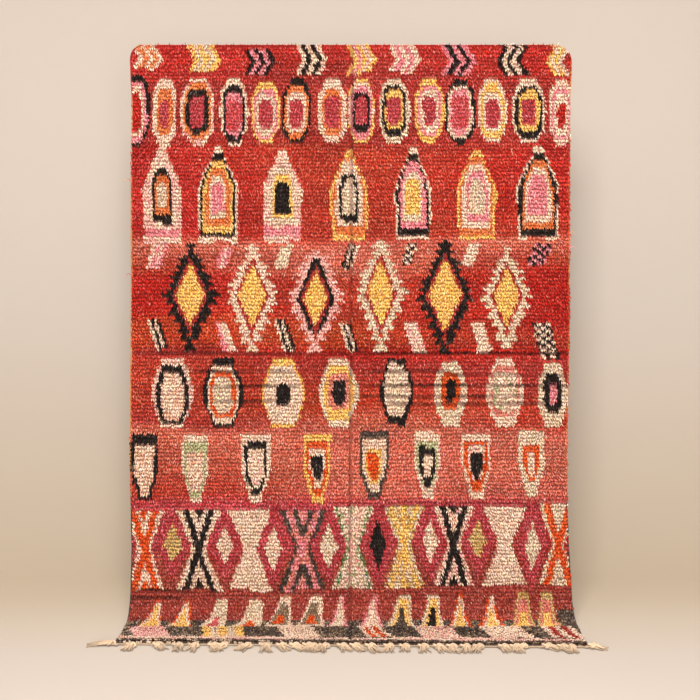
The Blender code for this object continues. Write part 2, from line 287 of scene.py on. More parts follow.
LADDERS = (
    # place, half width, top, bottom, how far the foot leads to the right, yarns from left to right
    (-755, 29, 772, 859, -31, "rosecream pink rosecream pink"),
    (-495, 21, 781, 859, -23, "pink rosecream pink"),
    (-257, 23, 773, 859, -27, "ecru"),
    (-2, 23, 769, 863, -31, "black cream black cream"),
    (228, 20, 769, 855, -27, "check black cream"),
    (468, 23, 769, 847, -27, "cream"),
    (734, 33, 765, 851, -35, "check black pink"),
    (-752, 25, 1058, 1179, 39, "cream black cream black"),
    (-486, 23, 1074, 1187, 39, "pink rosecream cream"),
    (-255, 25, 1070, 1191, 39, "cream black cream black"),
    (-7, 23, 1074, 1191, 39, "cream black cream black"),
    (252, 27, 1070, 1195, 39, "rosecream"),
    (511, 27, 1078, 1195, 35, "cream"),
    (759, 35, 1082, 1211, 39, "check cream black"),
    (-756, 66, 2325, 2450, 43, "rosepink"),
    (-479, 78, 2325, 2450, 20, "gold ecru gold ecru gold"),
    (-192, 66, 2325, 2450, 39, "cream"),
    (91, 47, 2325, 2450, 47, "cream flame cream flame cream"),
    (326, 70, 2325, 2450, 39, "rosecream"),
    (583, 78, 2325, 2450, 47, "cream"),
    (795, 62, 2325, 2450, 35, "cream madder cream madder cream"),
)
BARBED_LOZENGES = (
    # place, half width of the core, its top, its bottom, yarn of the barbs, whether a black ring runs inside
    (-624, 57, 847, 1093, "black", False),
    (-384, 55, 844, 1097, "cream", False),
    (-136, 46, 875, 1093, "rosepink", True),
    (117, 53, 833, 1091, "ecru", False),
    (366, 66, 831, 1107, "black", False),
    (606, 53, 861, 1087, "ecru", False),
)
CROSSES = (
    # place, half width, top, bottom, field, arms: yarn, spread at the ends and at the waist, width
    (-803, 78, 1800, 2117, "cream", "flame 0.58 0.0 26, flame 0 -0.72 22"),
    (-591, 90, 1800, 2117, "cream", "black 0.56 0.0 24, black 0 -0.72 27"),
    (-392, 86, 1800, 2117, "cream", "ecru 0.42 -0.1 9"),
    (-186, 94, 1800, 2117, "rosypink", "charcoal 0.87 0.30 22, charcoal 0.38 -0.20 20"),
    (10, 82, 1792, 2109, "mint", "green 0.80 0.3 7, rosecream 0.40 0.0 12"),
    (207, 80, 1786, 2105, "tan", "gold 0.68 0.0 15, gold 0.0 0.0 18"),
    (399, 82, 1786, 2099, "rosecream", "black 0.54 0.0 24, black 0 -0.72 22"),
    (597, 88, 1786, 2099, "cream", ""),
    (809, 78, 1785, 2097, "ecru", "flame 0.60 0.0 28"),
)
WEDGES = (
    # form, place of the foot, half width, top, bottom, how far the top leads to the right, yarns
    ("spike", -772, 47, 2148, 2322, 24, "flame 5 12 0, cream 13 20 0, gold"),
    ("spike", -662, 49, 2148, 2322, 30, "flame 5 12 0, cream 14 24 0, gold"),
    ("wedge", -531, 51, 2146, 2322, 34, "ecru 30 86 0, rosered"),
    ("wedge", -398, 53, 2146, 2322, 32, "ecru 27 100 0, flame"),
    ("wedge", -278, 55, 2144, 2322, 28, "cream 17 26 34, umber 13 50 6, flame"),
    ("wedge", -157, 55, 2144, 2322, 24, "cream 17 26 34, umber 13 50 6, flame"),
    ("spike", -51, 42, 2146, 2322, 14, "pink 12 0 0, cream 13 44 0, ecru"),
    ("spike", 78, 48, 2138, 2322, 12, "pink 13 14 0, cream"),
    ("wedge", 187, 53, 2132, 2322, 22, "ecru 15 24 0, gold 14 44 0, charcoal"),
    ("wedge", 308, 50, 2132, 2322, 14, "ecru 15 24 0, gold 13 40 0, black"),
    ("spike", 417, 48, 2132, 2322, 8, "flame 13 8 0, cream 11 46 0, gold"),
    ("spike", 536, 53, 2132, 2322, 12, "flame 15 8 0, cream 13 46 0, gold"),
    ("wedge", 656, 46, 2130, 2316, 14, "straw 9 22 0, salmon 9 60 0, gold"),
    ("wedge", 755, 46, 2130, 2316, 10, "straw 9 22 0, salmon 9 60 0, gold"),
)
BARS = (
    # left, right, top, bottom, yarn
    (-900, 900, 2252, 2560, "ashy"),
    (800, 900, 2198, 2276, "ashy"),
    (-900, 900, 2452, 2490, "blush"),
    (-900, -180, 2504, 2560, "mottled"),
)
BASE_BARS = (
    # left, right, top, bottom, yarn: stripes woven over the feet of two gates
    (-796, -668, 708, 744, "pink"),
    (-336, -194, 702, 736, "pink"),
)

# Yarns made of two colours carded or worked together: first, second, share of the first
MIXED_YARNS = {
    "rosecream": ("cream", "rosepink", 0.62),
    "rosypink": ("pink", "salmon", 0.5),
    "blush": ("rosepink", "cream", 0.30),
    "mixed": ("cream", "oatmeal", 0.6),
    "mottled": ("ecru", "charcoal", 0.40),
    "ashy": ("charcoal", "umber", 0.74),
    "tan": ("straw", "ecru", 0.45),
    "mint": ("cream", "sage", 0.72),
}

# Colours of the overcast yarn down each side, and of the loose ends
SELVEDGE_YARNS = (
    # down, left, right
    (0.00, "#b03028", "#b86a3a"),
    (0.18, "#b23a2c", "#d8904a"),
    (0.22, "#cf9a74", "#c87e42"),
    (0.48, "#cf9468", "#c98642"),
    (0.54, "#cc8640", "#c98642"),
    (1.72, "#c8803c", "#c27c3c"),
    (1.78, "#40322c", "#3c2e2a"),
    (2.60, "#3a2e2a", "#3a2c28"),
)
LOOSE_ENDS = (
    # across, down, length, direction across, colour
    (-0.856, 0.536, 0.030, -1.0, "#c02a24"),
    (0.852, 0.737, 0.026, 1.0, "#c42c28"),
    (0.852, 0.795, 0.034, 1.0, "#e8a855"),
    (0.622, 0.410, 0.034, 0.3, "#e0a8a8"),
    (-0.010, 1.187, 0.030, 0.6, "#e8c8a8"),
    (-0.300, 1.760, 0.022, -0.5, "#e8c8a8"),
    (0.430, 2.020, 0.024, 0.7, "#d8a090"),
    (-0.857, 0.900, 0.018, -1.0, "#b8352a"),
    (0.846, 1.420, 0.020, 1.0, "#d89048"),
)

# Knots of the fringe, where the construction has them
KNOTS = (
    # place, lean, length share
    (0.010, -2.70, 1.60), (0.044, -0.30, 0.90), (0.086, 0.60, 0.85), (0.133, 0.10, 1.00),
    (0.174, -0.10, 1.05), (0.205, 0.10, 1.10), (0.237, 0.20, 0.95), (0.290, -0.20, 1.00),
    (0.320, -0.10, 1.10), (0.346, 0.10, 0.90), (0.371, 0.10, 1.00), (0.397, 0.20, 1.15),
    (0.424, 0.20, 0.90), (0.450, 0.20, 1.05), (0.475, 0.20, 0.95), (0.499, 0.30, 1.10),
    (0.534, 0.40, 1.15), (0.582, -0.10, 1.00), (0.612, 0.10, 0.90), (0.650, 0.20, 1.00),
    (0.676, 0.30, 1.10), (0.710, -0.20, 1.00), (0.741, 0.10, 1.05), (0.773, 0.20, 1.10),
    (0.812, -0.10, 0.95), (0.838, 0.00, 1.05), (0.870, 0.10, 1.00), (0.896, 0.20, 0.95),
    (0.931, 0.00, 1.05), (0.956, 0.20, 0.90), (0.990, 2.10, 0.90),
)
NECK_LENGTH = 0.018
NECK_STRANDS = 5
TAIL_LENGTH = 0.034
TAIL_STRANDS = 20
LEAN_TURN = 0.62            # turn of a tassel for each unit of its lean
FALLEN_TURN = 0.55          # how unevenly the tassels have fallen to either side
FALLEN_MOST = 0.95
HEADING_GAP = 0.012         # from the cloth's end to the middle of the heading
LEFT_PULL = 0.016           # how much further forward the heading's left end was pulled
PLAIT_PITCH = 0.026
TASSEL_GAP = 0.004          # from the middle of the heading to a tassel's start
TASSEL_PULL = 0.014         # and how much further at the left

# Overcast cord of each side
CORD_DEPTH = 0.0042         # its middle, from the back of the cloth
CORD_INSET = 0.0022
CORD_RADIUS = 0.0026
COIL_RADIUS = 0.0028

# Loose ends
LOOSE_END_DEPTH = 0.011
LOOSE_END_RADIUS = 0.0011

# Studio
COOL_LIGHT = (1.0, 0.99, 0.98)
WARM_LIGHT = (1.0, 0.93, 0.85)
SOFTBOXES = (
    # name, place, point that it faces, side, power in W, colour
    ("key_softbox", (-0.3, -5.8, 1.6), (0.0, 0.0, -1.0), 2.2, 515.0, COOL_LIGHT),
    ("front_softbox", (0.4, -6.4, -1.2), (0.0, 0.0, -1.3), 2.2, 211.0, COOL_LIGHT),
    ("floor_light", (0.0, -3.0, 1.2), (0.0, -1.4, -2.26), 2.4, 19.0, WARM_LIGHT),
)
ROOM_LIGHT = 0.37
WALL_HEIGHT = 5.0
CORNER_RADIUS = 0.30        # where the backdrop's wall meets its floor
CAMERA_PLACE = (-0.002, -4.5, -1.19)
CAMERA_LENS = 59.3          # in mm, on a sensor 36 mm wide


def linear(hex_colour):
    """An sRGB hex colour as linear red, green and blue."""
    values = np.array([int(hex_colour[place:place + 2], 16) for place in (1, 3, 5)]) / 255.0
    low, high = values / 12.92, ((values + 0.055) / 1.055) ** 2.4
    return tuple(float(value) for value in np.where(values <= 0.04045, low, high))


def yarn_colour(label, hex_colour):
    """A colour property for one dyed yarn."""
    return bpy.props.FloatVectorProperty(
        name=label,
        description=f"Dyed wool: {label.lower()}",
        subtype="COLOR",
        size=3,
        min=0.0,
        max=1.0,
        default=linear(hex_colour),
    )


def length_property(label, description, default):
    """A length in metres."""
    return bpy.props.FloatProperty(name=label, description=description, default=default, unit="LENGTH")


class RugSizes(bpy.types.PropertyGroup):
    """Sizes of the knots and the yarn."""

    rows: bpy.props.IntProperty(
        name="Knot rows", description="Rows of knots down the cloth", default=181, min=20
    )
    columns: bpy.props.IntProperty(
        name="Knots a row", description="Knots across the cloth", default=186, min=20
    )
    lock_length: length_property("Lock length", "How far a lock of pile reaches down the cloth", 0.0170)
    lock_height: length_property("Lock height", "How far a lock stands out of the ground", 0.0095)
    lock_radius: length_property("Lock radius", "Half the width of a lock near its cut end", 0.0027)
    overcast_radius: length_property(
        "Overcast yarn radius", "Half the width of the yarn round each selvedge", 0.0014
    )
    warp_radius: length_property("Warp radius", "Half the width of one warp of the fringe", 0.0015)


class RugYarns(bpy.types.PropertyGroup):
    """Colours of the dyed yarns."""

    cream: yarn_colour("Cream", "#eccdb4")
    ecru: yarn_colour("Ecru", "#e2caae")
    oatmeal: yarn_colour("Oatmeal", "#e6b79c")
    rosepink: yarn_colour("Rose pink", "#efb4a8")
    pink: yarn_colour("Pink", "#e99095")
    rosered: yarn_colour("Rose red", "#cf5a5c")
    salmon: yarn_colour("Salmon", "#dc8a78")
    orange: yarn_colour("Orange", "#e2824a")
    flame: yarn_colour("Flame", "#dc5a24")
    gold: yarn_colour("Gold", "#f5c36e")
    straw: yarn_colour("Straw", "#cfae70")
    sage: yarn_colour("Sage", "#bdb98f")
    green: yarn_colour("Green", "#6a8a58")
    scarlet: yarn_colour("Scarlet", "#c1382f")
    crimson: yarn_colour("Crimson", "#be2e23")
    madder: yarn_colour("Madder", "#b23f36")
    brick: yarn_colour("Brick red", "#bd4833")
    terracotta: yarn_colour("Terracotta", "#d47862")
    rust: yarn_colour("Rust", "#c04c2c")
    raspberry: yarn_colour("Raspberry", "#bf4c50")
    wine: yarn_colour("Wine", "#a94c3f")
    maroon: yarn_colour("Maroon", "#7a2e2c")
    black: yarn_colour("Black", "#2a201b")
    charcoal: yarn_colour("Charcoal", "#5a4b41")
    umber: yarn_colour("Umber", "#977e64")
    warp: yarn_colour("Undyed warp", "#d8bc9c")
    backdrop: yarn_colour("Backdrop paper", "#aea49a")
    # The paper's colour with painted shade and a painted warm bounce, near the corner
    backdrop_corner_shade: yarn_colour("Backdrop paper near the corner", "#ac9d89")


# The cloth's path

def smooth(value, low, high):
    """0 below low, 1 above high, easing in between."""
    share = np.clip((value - low) / (high - low), 0.0, 1.0)
    return share * share * (3.0 - 2.0 * share)


def standing_off(across, down):
    """How far the back of the cloth stands in front of its plain path."""
    waves = np.full(np.shape(across), WAVE_ROOM)
    for height, waves_across, waves_down, phase in WAVES:
        turn = waves_across * across + waves_down * down
        waves = waves + height * np.sin(2.0 * math.pi * turn + phase)
    waves -= CENTRE_CREASE_DEPTH * np.exp(-((across / CENTRE_CREASE_WIDTH) ** 2))
    for crease_down, depth, half_width in CROSS_CREASES:
        waves -= depth * np.exp(-(((down - crease_down) / half_width) ** 2))
    hanging = smooth(down, 0.10, 0.35)
    hanging = hanging * (1.0 - smooth(down, HANGING_LENGTH - 0.10, HANGING_LENGTH + 0.06))
    past_bend = np.clip((down - FOOT_START) / FOOT_LIFT_END, -1.0, 1.0)
    lift = FOOT_LIFT * (0.5 + 0.5 * np.cos(math.pi * past_bend))
    return waves * hanging + lift


def across_at(share, down):
    """Where a share of the width lies across, at a distance down the cloth."""
    left = np.interp(down, EDGE_ROWS[:, 0], EDGE_ROWS[:, 1])
    right = np.interp(down, EDGE_ROWS[:, 0], EDGE_ROWS[:, 2])
    return left + (right - left) * share


def cloth_point(share, down, depth=0.0):
    """Points of the cloth: 0 to 1 from left to right, so far down, so deep into the pile."""
    share, down = np.broadcast_arrays(np.asarray(share, float), np.asarray(down, float))
    across = across_at(share, down)
    turn = np.clip((down - HANGING_LENGTH) / TOE_RADIUS, 0.0, math.pi / 2.0)
    reach = REACH_LEFT + (REACH_RIGHT - REACH_LEFT) * share
    stretch = (reach - TOE_RADIUS) / MEAN_FOOT
    foot = np.maximum(down - FOOT_START, 0.0) * stretch
    y = -TOE_RADIUS * (1.0 - np.cos(turn)) - foot
    z = -np.minimum(down, HANGING_LENGTH) - TOE_RADIUS * np.sin(turn)
    out = standing_off(across, down) + depth
    return np.stack([across, y - np.cos(turn) * out, z + np.sin(turn) * out], axis=-1)


def unit(vectors):
    """The same vectors, one long."""
    return vectors / np.linalg.norm(vectors, axis=-1, keepdims=True)


# The weaver's chart

def patches(rng, shape, cells_down, cells_across):
    """Smooth noise from -1 to 1 over the knots, in so many cells down and across."""
    coarse = rng.uniform(-1.0, 1.0, (cells_down + 2, cells_across + 2))
    down = np.linspace(0.0, cells_down, shape[0])
    across = np.linspace(0.0, cells_across, shape[1])
    row, column = down.astype(int), across.astype(int)
    row_share = smooth(down - row, 0.0, 1.0)[:, None]
    column_share = smooth(across - column, 0.0, 1.0)[None, :]
    upper = coarse[row][:, column] * (1.0 - column_share) + coarse[row][:, column + 1] * column_share
    lower = coarse[row + 1][:, column] * (1.0 - column_share) + coarse[row + 1][:, column + 1] * column_share
    return upper * (1.0 - row_share) + lower * row_share


def start_chart(sizes):
    """Each knot's place in m and in mm, a little uneven as hand-knotted rows are, and the red ground."""
    rng = np.random.default_rng(SEED)
    shape = (sizes.rows, sizes.columns)
    row_down = (np.arange(shape[0]) + 0.5) / shape[0] * CLOTH_LENGTH
    calm = smooth(row_down, 0.02, 0.12) * (1.0 - smooth(row_down, CLOTH_LENGTH - 0.08, CLOTH_LENGTH - 0.02))
    down = row_down[:, None] + 0.0034 * calm[:, None] * patches(rng, shape, 22, 9)
    share = np.broadcast_to(((np.arange(shape[1]) + 0.5) / shape[1])[None, :], shape)
    across = across_at(share, down) * 1000.0
    chart = {
        "rng": rng,
        "share": share,
        "row_down": row_down,
        "place_down": down,
        "across": across + 2.0 * patches(rng, shape, 60, 30),
        "down": down * 1000.0 + 2.5 * patches(rng, shape, 30, 24),
    }
    chart["colour"] = ground_colours(chart, shape)
    return chart


def ground_colours(chart, shape):
    """The red ground: dye lots down the cloth and across it, streaked along the rows."""
    rng, yarns = chart["rng"], bpy.context.scene.rug_yarns
    stops = [row[0] for row in ABRASH]
    wander = chart["down"] + 22.0 * patches(rng, shape, 12, 5)
    sides = []
    for column in (1, 2, 3):
        colours = np.array([tuple(getattr(yarns, row[column])) for row in ABRASH])
        sides.append(np.stack([np.interp(wander, stops, colours[:, band]) for band in range(3)], axis=-1))
    place = np.clip(chart["across"] / 700.0 + 0.25 * patches(rng, shape, 8, 4), -1.0, 1.0)[..., None]
    towards_left, towards_right = np.clip(-place, 0.0, 1.0), np.clip(place, 0.0, 1.0)
    colours = sides[1] * (1.0 - towards_left - towards_right)
    colours = colours + sides[0] * towards_left + sides[2] * towards_right
    streaks = 0.17 * patches(rng, shape, shape[0] - 2, 6) + 0.13 * patches(rng, shape, 30, 9)
    colours = colours * (1.0 + streaks[..., None])
    warmth = 0.10 * patches(rng, shape, 40, 9)[..., None]
    return colours * (1.0 + warmth * np.array([0.2, 1.0, 0.4]))


def paint(chart, where, yarn):
    """Knots of one yarn, or of the two that it is made of."""
    yarns = bpy.context.scene.rug_yarns
    if yarn not in MIXED_YARNS:
        chart["colour"][where] = tuple(getattr(yarns, yarn))
        return
    first, second, share = MIXED_YARNS[yarn]
    draw = chart["rng"].random(where.shape) + 0.25 * patches(chart["rng"], where.shape, 60, 50)
    chart["colour"][where & (draw < share)] = tuple(getattr(yarns, first))
    chart["colour"][where & (draw >= share)] = tuple(getattr(yarns, second))


def reach_of(form, share, deep=0.0):
    """How wide an outline is at a share of its height. Deep inside others it turns into its inner form."""
    outline = np.array(FORMS[form])
    reach = np.interp(share, outline[:, 0], outline[:, 1])
    inner = np.array(FORMS[INNER_FORMS.get(form, form)])
    return reach * (1.0 - deep) + np.interp(share, inner[:, 0], inner[:, 1]) * deep


def inside(chart, form, place, half, top, bottom, lead=0.0, deep=0.0):
    """Where a plain outline lies. Its top leads to the right of its foot by lead."""
    share = (chart["down"] - top) / max(bottom - top, 1.0)
    reach = reach_of(form, share, deep) * half
    centre = place + lead * (1.0 - share)
    return (share >= 0.0) & (share <= 1.0) & (np.abs(chart["across"] - centre) <= reach)


def nest(chart, form, place, half, top, bottom, yarns, lead=0.0):
    """The same outline again and again, one ring of yarn inside the next."""
    height = bottom - top
    for ring in yarns.split(", "):
        yarn, *widths = ring.split()
        deep = min(2.0 - 2.0 * (bottom - top) / height, 1.0)
        slant = lead * (bottom - top) / height
        paint(chart, inside(chart, form, place, half, top, bottom, slant, deep), yarn)
        if widths:
            half -= float(widths[0])
            top += float(widths[1])
            bottom -= float(widths[-1])


def stripes(chart, place, reach, top, bottom, shift, yarns):
    """Yarns side by side in a block, or a check of two. Its middle shifts with the share of its height."""
    share = (chart["down"] - top) / (bottom - top)
    position = (chart["across"] - place - shift(share) + reach) / (2.0 * reach)
    where = (share >= 0.0) & (share <= 1.0) & (position >= 0.0) & (position <= 1.0)
    names = yarns.split()
    if names[0] == "check":
        rows, columns = np.indices(where.shape)
        odd = (rows + columns // 2) % 2 == 1
        paint(chart, where & odd, names[1])
        paint(chart, where & ~odd, names[2])
        return
    index = np.clip((position * len(names)).astype(int), 0, len(names) - 1)
    for order, name in enumerate(names):
        paint(chart, where & (index == order), name)


def chevrons(chart, place, half, top, bottom, lead, yarns):
    """Arrowheads one behind the other."""
    reach = half - abs(lead) / 2.0
    stripes(chart, place, reach, top, bottom, lambda share: lead * (0.5 - np.abs(2.0 * share - 1.0)), yarns)


def ladder(chart, place, half, top, bottom, lead, yarns):
    """A slanting block of stripes."""
    stripes(chart, place, half, top, bottom, lambda share: lead * (share - 0.5), yarns)


def bars(chart, table):
    """Plain level bars."""
    for left, right, top, bottom, yarn in table:
        paint(chart, inside(chart, "bar", (left + right) / 2, (right - left) / 2, top, bottom), yarn)


def barbed_lozenge(chart, place, half, top, bottom, yarn, black_ring):
    """A gold lozenge in a thin red ring, in a ring with barbs, a crown above and teeth below."""
    height = (bottom - top) / 2.0
    below = chart["down"] - (top + bottom) / 2.0
    lift = np.abs(below)
    beyond = np.abs(chart["across"] - place) - half * (1.0 - lift / height)
    barb = 31.0 * (((chart["down"] - top + 400.0) / 35.0) % 1.0)
    inner = 27.0 if black_ring else 12.0
    near = (below > -height - 58.0) & (below < height + 22.0) & (beyond > 0.0)
    paint(chart, near & (beyond <= inner + 15.0 + barb), yarn)
    if black_ring:
        paint(chart, near & (beyond <= inner + 2.0), "black")
    paint(chart, near & (beyond <= 12.0), "madder")
    paint(chart, (beyond <= 0.0), "gold")
    nest(chart, "hourglass", place, 17, top - 76, top - 46, yarn)
    for side in (-20.0, 20.0):
        nest(chart, "tooth", place + side, 21, bottom + 20, bottom + 54, yarn)
    nest(chart, "tooth", place, 27, bottom + 54, bottom + 92, yarn)


def cross(chart, place, half, top, bottom, field, arms):
    """An hourglass with crossing arms over it, and triangles of yarn in its ends."""
    body = inside(chart, "hourglass", place, half, top, bottom)
    paint(chart, body, field)
    from_waist = np.abs((chart["down"] - top) / (bottom - top) * 2.0 - 1.0)
    sideways = np.abs(chart["across"] - place)
    for arm in filter(None, arms.split(", ")):
        yarn, end, waist, width = arm.split()
        end, waist, width = float(end), float(waist), float(width)
        spread = half * (end * from_waist + waist * (1.0 - from_waist))
        on_arm = (np.abs(sideways - spread) <= width / 2.0) & (spread >= 0.0)
        if end == 0.0 and waist < 0.0:
            on_arm = sideways <= width * (from_waist + waist) / (1.0 + waist)
        paint(chart, body & on_arm, yarn)


def draw_chart(sizes):
    """The whole design."""
    chart = start_chart(sizes)
    bars(chart, BARS)
    for row in CHEVRONS:
        chevrons(chart, *row)
    for form, table in (
        ("cartouche", CARTOUCHES), ("medallion", MEDALLIONS), ("gate", GATES), ("shield", SHIELDS),
    ):
        for row in table:
            nest(chart, form, *row)
    bars(chart, BASE_BARS)
    for row in BARBED_LOZENGES:
        barbed_lozenge(chart, *row)
    for place, half, top, bottom, yarn in SMALL_LOZENGES:
        nest(chart, "lozenge", place, half + 30, top - 74, bottom + 66, "raspberry")
        nest(chart, "lozenge", place, half, top, bottom, yarn)
    for row in CROSSES:
        cross(chart, *row)
    for form, place, half, top, bottom, lead, yarns in WEDGES:
        nest(chart, form, place, half, top, bottom, yarns, lead)
    for row in LADDERS:
        ladder(chart, *row)
    return chart


# Modelling

def start_piece():
    """Object mode, with nothing selected."""
    if bpy.context.object and bpy.context.object.mode != "OBJECT":
        bpy.ops.object.mode_set(mode="OBJECT")
    bpy.ops.object.select_all(action="DESELECT")


def keep_active(piece):
    """Selects one piece alone."""
    start_piece()
    piece.select_set(True)
    bpy.context.view_layer.objects.active = piece


def finish_piece(piece, name, material, slot, *nodes):
    """Names a piece, gives it its material, and hands it to the frame."""
    piece.name = name
    piece.data.name = name
    piece.data.materials.clear()
    piece.data.materials.append(material)
    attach(piece, "root")
    if nodes:
        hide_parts(*nodes)


def select_faces(mesh, test):
    """In edit mode, selects the faces that pass the test and no others."""
    edit = bmesh.from_edit_mesh(mesh)
    for face in edit.faces:
        face.select_set(False)
    for face in edit.faces:
        if test(face):
            face.select_set(True)
    bmesh.update_edit_mesh(mesh)


def select_edges(mesh, test):
    """In edit mode, selects the edges with both ends past the test and no others."""
    edit = bmesh.from_edit_mesh(mesh)
    for edge in edit.edges:
        edge.select_set(all(test(vertex.co) for vertex in edge.verts))
    bmesh.update_edit_mesh(mesh)


def model_lock():
    """One lock of cut yarn: a point in the knot, three sides, and a soft tip."""
    start_piece()
    bpy.ops.mesh.primitive_cone_add(
        vertices=3, radius1=1.0, radius2=0.0, depth=0.42, location=(0.0, 0.0, 0.79),
    )
    lock = bpy.context.object
    bpy.ops.object.transform_apply(location=True, rotation=True, scale=True)
    bpy.ops.object.mode_set(mode="EDIT")
    select_faces(lock.data, lambda face: face.normal.z < -0.9)
    bpy.ops.mesh.extrude_region_move(TRANSFORM_OT_translate={"value": (0.0, 0.0, -0.58)})
    bpy.ops.mesh.merge(type="CENTER")
    bpy.ops.mesh.select_all(action="SELECT")
    bpy.ops.mesh.normals_make_consistent(inside=False)
    bpy.ops.object.mode_set(mode="OBJECT")
    points = np.array([vertex.co for vertex in lock.data.vertices])
    faces = np.array([list(face.vertices) for face in lock.data.polygons])
    bpy.data.objects.remove(lock, do_unlink=True)
    return points, faces


def mesh_of(name, points, faces, colours):
    """One mesh of loose triangles with a colour on each point."""
    mesh = bpy.data.meshes.new(name)
    mesh.vertices.add(len(points))
    mesh.vertices.foreach_set("co", points.astype(np.float32).ravel())
    mesh.loops.add(faces.size)
    mesh.loops.foreach_set("vertex_index", faces.astype(np.int32).ravel())
    mesh.polygons.add(len(faces))
    mesh.polygons.foreach_set("loop_start", np.arange(0, faces.size, 3, dtype=np.int32))
    mesh.update(calc_edges=True)
    paint_points(mesh, colours)
    mesh.shade_smooth()
    return mesh


def paint_points(mesh, colours):
    """Gives each point of a mesh its yarn's colour."""
    rgba = np.ones((len(colours), 4), np.float32)
    rgba[:, :3] = colours
    layer = mesh.color_attributes.new("yarn", "FLOAT_COLOR", "POINT")
    layer.data.foreach_set("color", rgba.ravel())


def lock_cells(points, faces, count):
    """A cell of a square map for each lock, its sides laid out beside each other."""
    corners = points[faces]
    around = np.arctan2(corners[..., 1], corners[..., 0]) / (2.0 * math.pi) % 1.0
    middle = np.median(around, axis=1, keepdims=True)
    around = around + (around < middle - 0.5) - (around > middle + 0.5)
    cell = np.stack([0.1 + 0.8 * np.clip(around, 0.0, 1.0), 0.1 + 0.8 * corners[..., 2]], axis=-1)
    wide = math.ceil(math.sqrt(count))
    index = np.arange(count)
    origin = np.stack([index % wide, index // wide], axis=-1)[:, None, None, :]
    return (origin + cell[None]) / wide


def knot_frames(chart):
    """At each knot: its place in the ground, and the ways across, down and out."""
    share, down = chart["share"], chart["place_down"]
    place = cloth_point(share, down, ROOT_DEPTH)
    below = cloth_point(share, down + 0.004, ROOT_DEPTH) - cloth_point(share, down - 0.004, ROOT_DEPTH)
    beside = cloth_point(share + 0.002, down, ROOT_DEPTH) - cloth_point(share - 0.002, down, ROOT_DEPTH)
    # Pile hangs straight down even where the top edge draws the warps together
    below[..., 0] = 0.0
    down_way, across_way = unit(below), unit(beside)
    return place, across_way, down_way, unit(np.cross(down_way, across_way))


def lock_habits(chart, sizes):
    """How each knot's locks lie: their length, height and lean as creases and handling left them, and a
    painted shade.
    """
    rng, shape = chart["rng"], chart["share"].shape
    across = across_at(chart["share"], chart["place_down"])
    length = sizes.lock_length * (1.0 + 0.16 * patches(rng, shape, 70, 40))
    height = sizes.lock_height * (1.0 + 0.20 * patches(rng, shape, 60, 50))
    lean = 0.12 + 0.22 * patches(rng, shape, 45, 40) + 0.28 * patches(rng, shape, 11, 8)
    parting = np.exp(-((across / CREASE_PARTING) ** 2))
    lean = lean * (1.0 - parting) + np.sign(across) * 0.38 * parting
    height = height * (1.0 - 0.35 * parting)
    shade = np.ones(shape)
    pitch = CLOTH_LENGTH / shape[0]
    for open_down, left, right, depth in OPEN_ROWS:
        above = (chart["row_down"] > open_down - pitch) & (chart["row_down"] <= open_down)
        run = smooth(across, left - 0.03, left + 0.06) * (1.0 - smooth(across, right - 0.06, right + 0.03))
        run = run * np.clip(0.75 + 0.6 * patches(rng, shape, 3, 26), 0.0, 1.0)
        opened = above[:, None] * np.clip(1.45 * depth * run, 0.0, 1.0)
        length = length * (1.0 - 0.30 * opened)
        height = height * (1.0 - 0.55 * opened)
        # Painted shade: the locks of an open row are darkened
        shade = shade * (1.0 - 0.92 * opened)
    edge = np.abs(chart["share"] - 0.5) * 2.0
    lean = lean - np.sign(chart["share"] - 0.5) * 0.25 * smooth(edge, 0.984, 1.0)
    return length, height, lean, shade


def draw_locks(chart, rows, rng, sizes):
    """Every lock of some rows: its knot's place and ways, its colour and how it lies."""
    each = LOCKS_A_KNOT
    names = ("place", "across_way", "down_way", "out_way", "colour")
    parts = [part[rows].reshape(-1, 3) for part in (*chart["frames"], chart["colour"])]
    locks = {name: np.repeat(part, each, axis=0) for name, part in zip(names, parts)}
    length, height, lean, shade = (np.repeat(part[rows].reshape(-1), each) for part in chart["habits"])
    count = len(shade)
    first_row, last_row = (
        np.repeat(np.repeat(rows == row, sizes.columns), each) for row in (0, sizes.rows - 1)
    )
    length = length * rng.uniform(0.80, 1.26, count)
    # One lock in three of the first row stands up over the edge
    upward = first_row & (np.arange(count) % each == 1)
    locks["length"] = np.where(upward, length * -0.42, length)
    height = height * rng.uniform(0.72, 1.24, count)
    locks["lean"] = lean + rng.normal(0.0, 0.15, count)
    locks["radius"] = sizes.lock_radius * rng.uniform(0.80, 1.22, count)
    pitch = FLAT_WIDTH / sizes.columns
    aside = np.tile((np.arange(each) + 0.5) / each - 0.5, count // each) * pitch
    locks["aside"] = aside + rng.normal(0.0, LOCK_SPREAD, count)
    from_fold = locks["place"][:, 0] + locks["aside"] - FOLD_ACROSS - FOLD_DRIFT * locks["place"][:, 2]
    # Locks along the lengthwise crease stand lower and get painted shade
    near_fold_dip_and_painted_shade = np.exp(-((from_fold / FOLD_WIDTH) ** 2)) * rng.uniform(0.75, 1.0, count)
    locks["height"] = height * (1.0 - 0.5 * near_fold_dip_and_painted_shade)
    locks["row_shift"] = rng.normal(0.0, ROW_SPREAD, count)
    locks["fall"] = last_row * rng.uniform(0.9, 1.7, count)
    locks["turn"] = rng.uniform(0.0, 2.0 * math.pi, count)
    uneven = 1.0 + rng.normal(0.0, 0.11, count) + 0.22 * (rng.random(count) < 0.10)
    # Tone: painted shade where the pile opens and along the lengthwise crease, and random unevenness from
    # lock to lock
    locks["tone"] = shade * (1.0 - 0.82 * near_fold_dip_and_painted_shade) * uneven
    return locks


